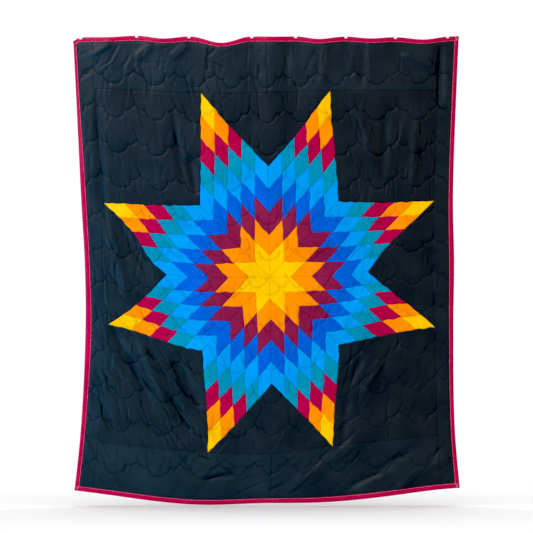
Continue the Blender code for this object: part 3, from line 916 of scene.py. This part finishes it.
# a cloth mesh is gathered from grids of flat points, then hung in one go
class FlatCloth:
    def __init__(self, snapReach, shortAcross=False, ofStar=False):
        self.across, self.down, self.seam = [], [], []
        self.cells, self.finish, self.count = [], [], 0
        self.snapReach = snapReach
        self.shortAcross = shortAcross
        self.ofStar = ofStar

    def addGrid(self, origin, first, second, stations, others, seam, finish=0, half=False):
        # first and second are the grid's two flat directions, seam gives the distance to its seams
        s, t = np.meshgrid(stations, others, indexing="ij")
        self.across.append((origin[0] + s * first[0] + t * second[0]).ravel())
        self.down.append((origin[1] + s * first[1] + t * second[1]).ravel())
        self.seam.append(seam(s, t).ravel())
        number = np.arange(s.size).reshape(s.shape) + self.count
        cells = np.stack([number[:-1, :-1], number[1:, :-1], number[1:, 1:], number[:-1, 1:]], -1)
        if half:
            rows, columns = np.indices(cells.shape[:2])
            last = rows + columns == cells.shape[0] - 1
            inside = rows + columns < cells.shape[0] - 1
            corner = cells[last]
            self.cells.append((cells[inside], corner[:, [0, 3, 1]], finish))
        else:
            self.cells.append((cells.reshape(-1, 4), np.zeros((0, 3), int), finish))
        self.count += s.size

    def hang(self, name, face, materials):
        across, down, seam = (np.concatenate(v) for v in (self.across, self.down, self.seam))
        nearest, toLine = nearestLine(across, down)
        # points close to a quilting line move onto it, so that the line stays crisp
        snapped = (toLine < self.snapReach) & (seam > fineness["seamClear"] * self.snapReach)
        across = np.where(snapped, nearest[:, 0], across)
        down = np.where(snapped, nearest[:, 1], down)
        toLine = np.where(snapped, 0.0, toLine)
        points = clothPoints(across, down, toLine, seam, face)
        used = np.zeros(self.count, bool)
        faces, finishes = [], []
        for cells, corners, finish in self.cells:
            a, b, c, d = cells.T
            alongAC = snapped[a] & snapped[c] & ~(snapped[b] & snapped[d])
            alongBD = snapped[b] & snapped[d] & ~(snapped[a] & snapped[c])
            plain = ~(alongAC | alongBD)
            quads = cells[plain][:, [1, 0, 3, 2]] if self.shortAcross else cells[plain][:, [0, 3, 2, 1]]
            threes = [cells[alongAC][:, [0, 3, 2]], cells[alongAC][:, [0, 2, 1]],
                      cells[alongBD][:, [0, 3, 1]], cells[alongBD][:, [1, 3, 2]], corners]
            for part in [quads, *threes]:
                used[part.ravel()] = True
                part = part[:, ::-1] if face > 0 else part
                faces += part.tolist()
                finishes += [finish] * len(part)
        keep = np.cumsum(used) - 1
        faces = [[int(keep[v]) for v in f] for f in faces]
        mesh = bpy.data.meshes.new(name)
        mesh.from_pydata(points[used].tolist(), [], faces)
        for material in materials:
            mesh.materials.append(material)
        mesh.polygons.foreach_set("material_index", finishes)
        giveFlat(mesh, np.stack([across[used], down[used]], axis=1))
        # painted shade for the cloth's colour, kept as a point attribute
        deep = paintedShadeAt(across[used], down[used], toLine[used], seam[used], self.ofStar)
        mesh.attributes.new("pinch", "FLOAT", "POINT").data.foreach_set("value", deep)
        mesh.shade_smooth()
        # the cloth turns sharply where it is stitched down
        ends = np.empty(2 * len(mesh.edges), np.int32)
        mesh.edges.foreach_get("vertices", ends)
        stitched = snapped[used][ends].reshape(-1, 2).all(axis=1)
        mesh.attributes.new("sharp_edge", "BOOLEAN", "EDGE").data.foreach_set("value", stitched)
        return link(name, mesh)


def graded(length, cells, start=True, end=True):
    first, second = fineness["seamSteps"]
    lead = [0.0, first] if start else []
    tail = [length - first, length] if end else []
    inner = cells - len(lead) - len(tail)
    low = second if start else 0.0
    high = length - second if end else length
    return np.array(lead + list(np.linspace(low, high, inner + 1)) + tail)


patch = cut["armSide"] / cut["patchesPerSide"]
patchStations = graded(patch, fineness["cellsPerPatch"])
sideStations = np.unique(np.round(np.concatenate(
    [k * patch + patchStations for k in range(cut["patchesPerSide"])]), 9))

frontPieces = []


def declare(obj, replaced="quilt_body"):
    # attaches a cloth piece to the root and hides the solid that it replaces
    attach(obj, "root")
    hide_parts(replaced)


print("clips")
clipEdges = {
    "doubles": 1e-6,
    "flatAngle": 0.02,  # radians
    "round": 0.00045,
    "steps": 3,
    "profile": 0.6,
    "sharpDegrees": 50,
}


def clipPiece(name):
    # the clip's own solid, merged and with its edges rounded
    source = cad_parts[name].data.copy()
    bm = bmesh.new()
    bm.from_mesh(source)
    bmesh.ops.remove_doubles(bm, verts=bm.verts, dist=clipEdges["doubles"])
    bmesh.ops.dissolve_limit(bm, angle_limit=clipEdges["flatAngle"], verts=bm.verts, edges=bm.edges)
    bmesh.ops.bevel(bm, geom=list(bm.edges), offset=clipEdges["round"], segments=clipEdges["steps"],
                    profile=clipEdges["profile"], affect="EDGES", clamp_overlap=True)
    mesh = bpy.data.meshes.new(name + "_moulding")
    bm.to_mesh(mesh)
    bm.free()
    mesh.materials.clear()
    mesh.materials.append(clipPlastic)
    mesh.shade_smooth()
    mesh.set_sharp_from_angle(angle=math.radians(clipEdges["sharpDegrees"]))
    obj = link(name + "_moulding", mesh)
    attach(obj, "root")
    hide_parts(name)
    return obj


clipHolders = [clipPiece(f"clip_{number}") for number in range(1, len(clipPlaces) + 1)]

# colours of the patches by their row from the star's middle
patchRows = ("yellow", "orange", "wine", "royal", "azure", "teal", "crimson", "orange", "yellow")


def armPiece(number):
    way = [(math.cos(k * math.pi / 4), math.sin(k * math.pi / 4)) for k in (number, number + 1)]
    cloth = FlatCloth(fineness["armSnap"], shortAcross=True, ofStar=True)

    def seam(s, t):
        return slant * np.minimum(np.minimum(s, patch - s), np.minimum(t, patch - t))

    names = sorted(set(patchRows))
    for i in range(cut["patchesPerSide"]):
        for j in range(cut["patchesPerSide"]):
            corner = [patch * (i * way[0][n] + j * way[1][n]) for n in (0, 1)]
            corner[1] += starDrop
            cloth.addGrid(corner, way[0], way[1], patchStations, patchStations, seam,
                          names.index(patchRows[i + j]))
    return cloth.hang(f"star_arm_{number + 1}", -1, [cottons[name] for name in names])


print("star arms")
for number in range(8):
    arm = armPiece(number)
    declare(arm)
    frontPieces.append(arm)

print("ground pieces")


def squarePiece(name, left, top):
    side = cut["armSide"]
    cloth = FlatCloth(fineness["groundSnap"])

    def seam(s, t):
        return np.minimum(np.minimum(s, side - s), np.minimum(t, side - t))

    cloth.addGrid((left, top), (1, 0), (0, 1), sideStations, sideStations, seam)
    return cloth.hang(name, -1, [cottons["black"]])


def trianglePiece(name, number):
    # set in between two arms, its right angle at the notch
    side = cut["armSide"]
    notch = number * math.pi / 2
    first, second = notch - math.pi / 4, notch + math.pi / 4
    cloth = FlatCloth(fineness["groundSnap"], shortAcross=True)

    def seam(s, t):
        return np.minimum(np.minimum(s, t), (side - s - t) * slant)

    origin = (side * math.cos(notch), starDrop + side * math.sin(notch))
    ways = [(math.cos(a), math.sin(a)) for a in (first, second)]
    cloth.addGrid(origin, *ways, sideStations, sideStations, seam, half=True)
    return cloth.hang(name, -1, [cottons["black"]])


squares = (
    ("corner_square_top_left", -starHalf, starDrop - starHalf),
    ("corner_square_top_right", tipOffset, starDrop - starHalf),
    ("corner_square_bottom_left", -starHalf, starDrop + tipOffset),
    ("corner_square_bottom_right", tipOffset, starDrop + tipOffset),
)
for name, left, top in squares:
    square = squarePiece(name, left, top)
    declare(square)
    frontPieces.append(square)
for number, name in enumerate(("right", "bottom", "left", "top")):
    triangle = trianglePiece("side_triangle_" + name, number)
    declare(triangle)
    frontPieces.append(triangle)

# mesh lines across the star's whole side: square, triangle, square
longSide = sideStations * math.sqrt(2)
wholeSide = np.unique(np.round(np.concatenate([
    -starHalf + sideStations, -tipOffset + longSide, tipOffset + sideStations]), 9))
topCells = int(cut["topStrip"] / fineness["stripCell"])
topDown = graded(cut["topStrip"] - cut["hiddenRim"], topCells, start=False) + cut["hiddenRim"]
bottomDown = graded(cut["bottomStrip"] - cut["hiddenRim"], topCells, end=False) + starDrop + starHalf
sideCells = int(cut["sideStrip"] / fineness["stripCell"])
leftAcross = graded(cut["sideStrip"] - cut["hiddenRim"], sideCells, start=False)
leftAcross = leftAcross + cut["hiddenRim"] - halfWidth
wholeDown = np.unique(np.round(np.concatenate([topDown, starDrop + wholeSide, bottomDown]), 9))
middleStation = len(wholeSide) // 2


def stripPiece(name, acrossLines, downLines, seamAcross, seamDown):
    # the seams are where the strip is sewn to its neighbours
    cloth = FlatCloth(fineness["groundSnap"])

    def seam(s, t):
        gaps = [np.abs(s - place) for place in seamAcross] + [np.abs(t - place) for place in seamDown]
        return np.minimum.reduce(gaps)

    cloth.addGrid((0.0, 0.0), (1, 0), (0, 1), acrossLines, downLines, seam)
    return cloth.hang(name, -1, [cottons["stripBlack"]])


leftHalf, rightHalf = wholeSide[:middleStation + 1], wholeSide[middleStation:]
starBottom = starDrop + starHalf
strips = (
    ("top_strip_left", leftHalf, topDown, (-starHalf, 0.0), (cut["topStrip"],)),
    ("top_strip_right", rightHalf, topDown, (0.0, starHalf), (cut["topStrip"],)),
    ("bottom_strip_left", leftHalf, bottomDown, (-starHalf, 0.0), (starBottom,)),
    ("bottom_strip_right", rightHalf, bottomDown, (0.0, starHalf), (starBottom,)),
    ("side_strip_left", leftAcross, wholeDown, (-starHalf,), ()),
    ("side_strip_right", -leftAcross[::-1], wholeDown, (starHalf,), ()),
)
for name, acrossLines, downLines, seamAcross, seamDown in strips:
    strip = stripPiece(name, acrossLines, downLines, seamAcross, seamDown)
    declare(strip)
    frontPieces.append(strip)

print("backing")


def backingPiece():
    inset = cut["hiddenRim"]
    width, height = halfWidth - inset, cutHeight - 2 * inset
    cloth = FlatCloth(fineness["backSnap"])
    acrossLines = np.linspace(-width, width, int(2 * width / fineness["backCell"]) + 1)
    downLines = np.linspace(inset, inset + height, int(height / fineness["backCell"]) + 1)
    cloth.addGrid((0.0, 0.0), (1, 0), (0, 1), acrossLines, downLines, lambda s, t: np.full_like(s, 1.0))
    return cloth.hang("backing", 1, [cottons["black"]])


backing = backingPiece()

# the binding: its section from the front inner edge round the fold to the back inner edge,
# as distance in from the outer edge, and distance out from the middle of the cloth
bound = {
    "section": (
        (0.0250, 0.00195),
        (0.0252, 0.00260),
        (0.0243, 0.00310),
        (0.0226, 0.00250),
        (0.0206, 0.00335),
        (0.0160, 0.00405),
        (0.0105, 0.00415),
        (0.0055, 0.00365),
        (0.0020, 0.00260),
        (0.0004, 0.00130),
    ),
    "innerOffset": 0.0018,
    "innerEdge": 0.0010,
    "step": 0.0068,
    "stitchLine": 0.0226,
    "innerPlaces": (0.0246, 0.0120),
    "ripple": 0.0005,
    "rippleWaves": (0.047, 0.131),
    "rippleSlant": 160,  # radians for each metre in from the edge
    "rippleWidth": 0.022,
    "rippleOver": 0.0019,  # only the cloth that lies further out than this ripples
    "flatWidth": 0.054,
    "stitchEnd": 0.004,
    "stitchSamples": 400,
}


def bindingPiece(name, ends, placeAt):
    # placeAt gives the flat point at a place along the strip and a distance in from the edge
    places = np.linspace(*ends, int((ends[1] - ends[0]) / bound["step"]) + 1)
    front = list(bound["section"])
    outer = [(w, -o) for w, o in front] + [(0.0, 0.0)] + [(w, o) for w, o in front[::-1]]
    thick, edge = bound["innerOffset"], bound["innerEdge"]
    inner = [(w, thick) for w in (*bound["innerPlaces"], edge)]
    inner += [(w, -o) for w, o in inner[::-1]]
    section = np.array(outer + inner)
    place, inset = np.meshgrid(places, section[:, 0], indexing="ij")
    across, down = placeAt(place, inset)
    points = middlePoints(across, down)
    # the cloth of the binding ripples a little between its stitches
    short, long = bound["rippleWaves"]
    ripple = np.sin(place * 2 * math.pi / short + inset * bound["rippleSlant"])
    ripple *= np.sin(place * 2 * math.pi / long + 1.0)
    ripple *= bound["ripple"] * np.sin(math.pi * np.clip(inset / bound["rippleWidth"], 0, 1))
    offset = np.broadcast_to(section[:, 1], place.shape)
    points[..., 1] += offset + np.sign(offset) * ripple * (np.abs(offset) > bound["rippleOver"])
    rows, ring = place.shape
    number = np.arange(rows * ring).reshape(rows, ring)
    after = np.roll(number, -1, axis=1)
    quads = np.stack([number[:-1], after[:-1], after[1:], number[1:]], -1).reshape(-1, 4)
    caps = []
    last = len(outer) - 1
    for row, turned in ((number[0], False), (number[-1], True)):
        # the end wall is a band between the outer and inner outlines
        pairs = [(row[k], row[last - k]) for k in range(len(front) + 1)]
        for (a, b), (c, d) in zip(pairs[:-1], pairs[1:]):
            wall = [int(v) for v in (a, c, d, b)] if c != d else [int(v) for v in (a, c, b)]
            caps.append(wall[::-1] if turned else wall)
    mesh = bpy.data.meshes.new(name)
    mesh.from_pydata(points.reshape(-1, 3).tolist(), [], quads.tolist() + caps)
    mesh.materials.append(bindingCotton)
    girth = np.concatenate([[0], np.cumsum(np.linalg.norm(np.diff(section, axis=0), axis=1))])
    giveFlat(mesh, np.stack([place, np.broadcast_to(girth, place.shape)], -1).reshape(-1, 2))
    mesh.shade_smooth()
    bm = bmesh.new()
    bm.from_mesh(mesh)
    bmesh.ops.recalc_face_normals(bm, faces=bm.faces)
    bm.to_mesh(mesh)
    bm.free()
    return link(name, mesh)


print("binding")
band = cut["bindingWidth"]
acrossEnds, downEnds = (-halfWidth, halfWidth), (band, cutHeight - band)
edges = {
    "top": (acrossEnds, lambda place, inset: (place, inset)),
    "bottom": (acrossEnds, lambda place, inset: (place, cutHeight - inset)),
    "left": (downEnds, lambda place, inset: (inset - halfWidth, place)),
    "right": (downEnds, lambda place, inset: (halfWidth - inset, place)),
}
bindings = {side: bindingPiece("binding_cloth_" + side, *edge) for side, edge in edges.items()}

print("sewing")
rayStart = 0.2  # well clear of the cloth on either side


def surfaceOf(objects):
    points, faces = [], []
    for obj in objects:
        start = len(points)
        points += [v.co.copy() for v in obj.data.vertices]
        faces += [[start + v for v in polygon.vertices] for polygon in obj.data.polygons]
    return BVHTree.FromPolygons(points, faces)


def laidOn(surface, flatLine, face, lift, step):
    # a flat line, in even steps, laid on the surface that is seen from the front or the back
    middle = middlePoints(flatLine[:, 0], flatLine[:, 1])
    line = []
    for x, _, z in evenSteps(middle, step).tolist():
        hit = surface.ray_cast(Vector((x, face * rayStart, z)), Vector((0, -face, 0)))[0]
        if hit is not None:
            line.append((hit.x, hit.y + face * lift, hit.z))
    return line


def stitchTree():
    # spindles of thread set along lines, one for each step
    tree = bpy.data.node_groups.new("stitchesAlongLines", "GeometryNodeTree")
    sizes = (
        ("Pitch", "NodeSocketFloat", 0.0036),
        ("Stitch Length", "NodeSocketFloat", 0.0032),
        ("Thread Radius", "NodeSocketFloat", 0.0003),
        ("Slant", "NodeSocketFloat", 0.0),
        ("Scatter", "NodeSocketFloat", 0.04),
        ("Around", "NodeSocketInt", 4),
        ("Seed", "NodeSocketInt", 3),
        ("Thread", "NodeSocketMaterial", None),
    )
    interface = tree.interface
    interface.new_socket("Lines", in_out="INPUT", socket_type="NodeSocketGeometry")
    for name, kind, value in sizes:
        socket = interface.new_socket(name, in_out="INPUT", socket_type=kind)
        if value is not None:
            socket.default_value = value
    interface.new_socket("Stitches", in_out="OUTPUT", socket_type="NodeSocketGeometry")
    nodes, links = tree.nodes, tree.links

    def add(kind, inputs=None, **settings):
        made = nodes.new(kind)
        for name, value in settings.items():
            setattr(made, name, value)
        for name, value in (inputs or {}).items():
            if isinstance(value, bpy.types.NodeSocket):
                links.new(value, made.inputs[name])
            else:
                made.inputs[name].default_value = value
        return made

    given = add("NodeGroupInput").outputs
    curve = add("GeometryNodeMeshToCurve", {"Mesh": given["Lines"]})
    even = add("GeometryNodeResampleCurve", {"Curve": curve.outputs[0], "Length": given["Pitch"]},
               mode="LENGTH")
    tangent = add("GeometryNodeInputTangent")
    along = add("FunctionNodeAlignRotationToVector", {"Vector": tangent.outputs[0]}, axis="Z")
    facing = add("FunctionNodeAlignRotationToVector",
                 {"Rotation": along.outputs[0], "Vector": (0.0, -1.0, 0.0)}, axis="X", pivot_axis="Z")
    # every other stitch leans the other way, which makes a zigzag where there is a slant
    index = add("GeometryNodeInputIndex")
    odd = add("ShaderNodeMath", {0: index.outputs[0], 1: 2.0}, operation="MODULO")
    sign = add("ShaderNodeMath", {0: odd.outputs[0], 1: -2.0, 2: 1.0}, operation="MULTIPLY_ADD")
    wobble = add("FunctionNodeRandomValue", {"Min": -1.0, "Max": 1.0, "Seed": given["Seed"]},
                 data_type="FLOAT")
    wobbleSocket = [s for s in wobble.outputs if s.enabled][0]
    scatter = add("ShaderNodeMath", {0: wobbleSocket, 1: given["Scatter"]}, operation="MULTIPLY")
    lean = add("ShaderNodeMath", {0: sign.outputs[0], 1: given["Slant"], 2: scatter.outputs[0]},
               operation="MULTIPLY_ADD")
    turn = add("ShaderNodeCombineXYZ", {"X": lean.outputs[0]})
    turned = add("FunctionNodeEulerToRotation", {0: turn.outputs[0]})
    rotation = add("FunctionNodeRotateRotation",
                   {"Rotation": facing.outputs[0], "Rotate By": turned.outputs[0]},
                   rotation_space="LOCAL")
    spindle = add("GeometryNodeMeshUVSphere", {"Segments": given["Around"], "Rings": 3, "Radius": 1.0})
    reach = add("ShaderNodeMath", {0: given["Stitch Length"], 1: 0.5}, operation="MULTIPLY")
    size = add("ShaderNodeCombineXYZ", {"X": given["Thread Radius"], "Y": given["Thread Radius"],
                                        "Z": reach.outputs[0]})
    sized = add("GeometryNodeTransform", {"Geometry": spindle.outputs[0], "Scale": size.outputs[0]})
    placed = add("GeometryNodeInstanceOnPoints", {"Points": even.outputs[0],
                                                  "Instance": sized.outputs[0],
                                                  "Rotation": rotation.outputs[0]})
    real = add("GeometryNodeRealizeInstances", {"Geometry": placed.outputs[0]})
    dressed = add("GeometryNodeSetMaterial", {"Geometry": real.outputs[0], "Material": given["Thread"]})
    add("NodeGroupOutput", {"Stitches": dressed.outputs[0]})
    return tree


stitches = stitchTree()


def sewn(name, lines, thread, slot, **sizes):
    # turns lines into stitches and returns them as a plain mesh
    points, edges = [], []
    for line in lines:
        start = len(points)
        points += line
        edges += [(start + k, start + k + 1) for k in range(len(line) - 1)]
    guide = bpy.data.meshes.new(name)
    guide.from_pydata(points, edges, [])
    obj = link(name, guide)
    modifier = obj.modifiers.new("stitches", "NODES")
    modifier.node_group = stitches
    sockets = {item.name: item.identifier for item in stitches.interface.items_tree
               if item.in_out == "INPUT"}
    for key, value in sizes.items():
        modifier[sockets[key]] = value
    modifier[sockets["Thread"]] = thread
    bpy.context.view_layer.update()
    done = bpy.data.meshes.new_from_object(obj.evaluated_get(bpy.context.evaluated_depsgraph_get()))
    obj.modifiers.remove(modifier)
    obj.data = done
    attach(obj, "root")
    return obj


# sizes of the stitches, in metres
sewing = {
    "quilting": {"Pitch": 0.0042, "Stitch Length": 0.0040, "Thread Radius": 0.00025, "Seed": 3},
    "topstitch": {"Pitch": 0.0036, "Stitch Length": 0.0040, "Thread Radius": 0.00046, "Slant": 0.38,
                  "Seed": 5},
    "tack": {"Pitch": 0.0022, "Stitch Length": 0.0030, "Thread Radius": 0.0006, "Seed": 7},
    "backQuilting": {"Pitch": 0.0056, "Stitch Length": 0.0053, "Thread Radius": 0.00025, "Around": 3,
                     "Seed": 3},
}
# how far the thread's middle lies off the cloth, and the step of the line that it follows
laid = {"quilting": (0.0001, 0.002), "topstitch": (0.0002, 0.002), "tack": (0.0005, 0.001)}
frontSurface = surfaceOf(frontPieces)
backSurface = surfaceOf([backing])
bindingSurface = surfaceOf(bindings.values())
rowGroups = (("upper", quiltingLines[:4]), ("middle", quiltingLines[4:8]), ("lower", quiltingLines[8:]))
for label, rows in rowGroups:
    lines = [laidOn(frontSurface, row, -1, *laid["quilting"]) for row in rows]
    sewn("quilting_stitches_" + label, lines, threadMaterials["quilting"],
                               "quilt_cotton", **sewing["quilting"])
backLines = [laidOn(backSurface, row, 1, *laid["quilting"]) for row in quiltingLines]
sewn("quilting_stitches_back", backLines, threadMaterials["quilting"],
                           "quilt_cotton", **sewing["backQuilting"])
declare(backing)


def edgeLine(side, inset):
    # a flat line along one edge of the quilt
    (start, end), placeAt = edges[side]
    short = bound["stitchEnd"] if side in ("top", "bottom") else 0.0
    places = np.linspace(start + short, end - short, bound["stitchSamples"])
    return np.stack(placeAt(places, np.full_like(places, inset)), axis=1)


# corner tacks: corner across and down as signs, then the V's points in from that corner
tacks = (
    ("top_right", 1, 0, ((0.020, 0.006), (0.013, 0.020), (0.005, 0.008))),
    ("bottom_right", 1, 1, ((0.022, 0.021), (0.016, 0.007), (0.006, 0.019))),
    ("bottom_left", -1, 1, ((0.023, 0.020), (0.017, 0.010), (0.008, 0.016))),
)
tackPieces = {"top": [], "bottom": []}
for name, right, bottom, corners in tacks:
    flat = [(right * (halfWidth - a), cutHeight - d if bottom else d) for a, d in corners]
    line = laidOn(bindingSurface, np.array(flat), -1, *laid["tack"])
    piece = sewn("corner_tack_" + name, [line], threadMaterials["tack"], "binding_cotton",
                 **sewing["tack"])
    tackPieces["bottom" if bottom else "top"].append(piece)
for side, piece in bindings.items():
    flatLine = edgeLine(side, bound["stitchLine"])
    lines = [laidOn(bindingSurface, flatLine, face, *laid["topstitch"]) for face in (-1, 1)]
    topstitch = sewn("binding_topstitch_" + side, lines, threadMaterials["topstitch"],
                     "binding_cotton", **sewing["topstitch"])
    declare(piece, replaced="binding_" + side)

print("studio")
studio = {
    "photoPixels": 533,
    "metresPerPixel": 0.005165,
    "middle": (0.0026, -1.1802),
    "cameraDistance": 7.0,
    "sensor": 36.0,
    "floorLevel": -2.42,
    "floor": (-2.6, -2.2, 2.6, 0.9),
    "white": 1.02,
    "fill": 0.28,
    "blackLevel": 0.0300,
}


def lamp(name, place, target, size, watts, colour):
    data = bpy.data.lights.new(name, "AREA")
    data.shape = "RECTANGLE"
    data.size, data.size_y = size
    data.energy = watts
    data.color = colour
    obj = link(name, data)
    obj.location = place
    obj.rotation_euler = (Vector(target) - Vector(place)).to_track_quat("-Z", "Y").to_euler()
    return obj


camera = bpy.data.cameras.new("camera")
camera.sensor_width = studio["sensor"]
viewWidth = studio["photoPixels"] * studio["metresPerPixel"]
camera.lens = studio["sensor"] * studio["cameraDistance"] / viewWidth
cameraObject = link("camera", camera)
cameraObject.location = (studio["middle"][0], -studio["cameraDistance"], studio["middle"][1])
cameraObject.rotation_euler = (math.radians(90), 0, 0)
scene.camera = cameraObject

middle = (0.0, 0.0, -1.2)
quiltLamps = (
    lamp("key", (-3.6, -4.8, 3.6), middle, (3.0, 3.0), 430, (1.06, 1.0, 0.94)),
    lamp("kicker", (-5.0, -3.4, -2.2), middle, (2.5, 2.5), 150, (0.40, 0.86, 1.45)),
    lamp("fill", (4.5, -6.0, 1.0), middle, (4.0, 4.0), 135, (1.0, 0.88, 0.76)),
    lamp("back", (2.0, 6.0, 2.5), middle, (4.0, 4.0), 500, (1.0, 1.0, 1.0)),
)
overhead = lamp("overhead", (0.0, 0.02, 2.0), (0.0, 0.02, -2.4), (7.5, 1.2), 268, (1.0, 1.0, 1.0))

world = bpy.data.worlds.new("studio")
scene.world = world
world.use_nodes = True
air = Shade(world.node_tree)
seen = air.node("ShaderNodeLightPath", {}, {}, 0)
background = world.node_tree.nodes["Background"]
background.inputs["Color"].default_value = (1.0, 1.0, 1.0, 1.0)
strength = studio["fill"] + seen * (studio["white"] - studio["fill"])
world.node_tree.links.new(strength.socket, background.inputs["Strength"])
view = scene.view_settings
view.view_transform = "Standard"
view.use_curve_mapping = True
view.curve_mapping.black_level = (studio["blackLevel"],) * 3
view.curve_mapping.update()

floorMesh = bpy.data.meshes.new("floor")
left, near, right, far = studio["floor"]
level = studio["floorLevel"]
floorMesh.from_pydata([(left, near, level), (right, near, level), (right, far, level),
                       (left, far, level)], [], [(0, 1, 2, 3)])
floorMaterial, floorShader, _ = blank("paleFloor")
floorShader.inputs["Base Color"].default_value = (0.9, 0.9, 0.9, 1.0)
floorShader.inputs["Roughness"].default_value = 0.9
floorShader.inputs["Specular IOR Level"].default_value = 0.0
floorMesh.materials.append(floorMaterial)
floor = link("floor", floorMesh)
# four lamps light the quilt and the overhead lamp the floor, so that the soft shadow
# of the quilt shows under its hem
for lampObjects, label, state in ((quiltLamps, "quilt", "EXCLUDE"), ((overhead,), "floor", "INCLUDE")):
    lit = bpy.data.collections.new("lights the " + label)
    lit.objects.link(floor)
    lit.collection_objects[0].light_linking.link_state = state
    for lampObject in lampObjects:
        lampObject.light_linking.receiver_collection = lit
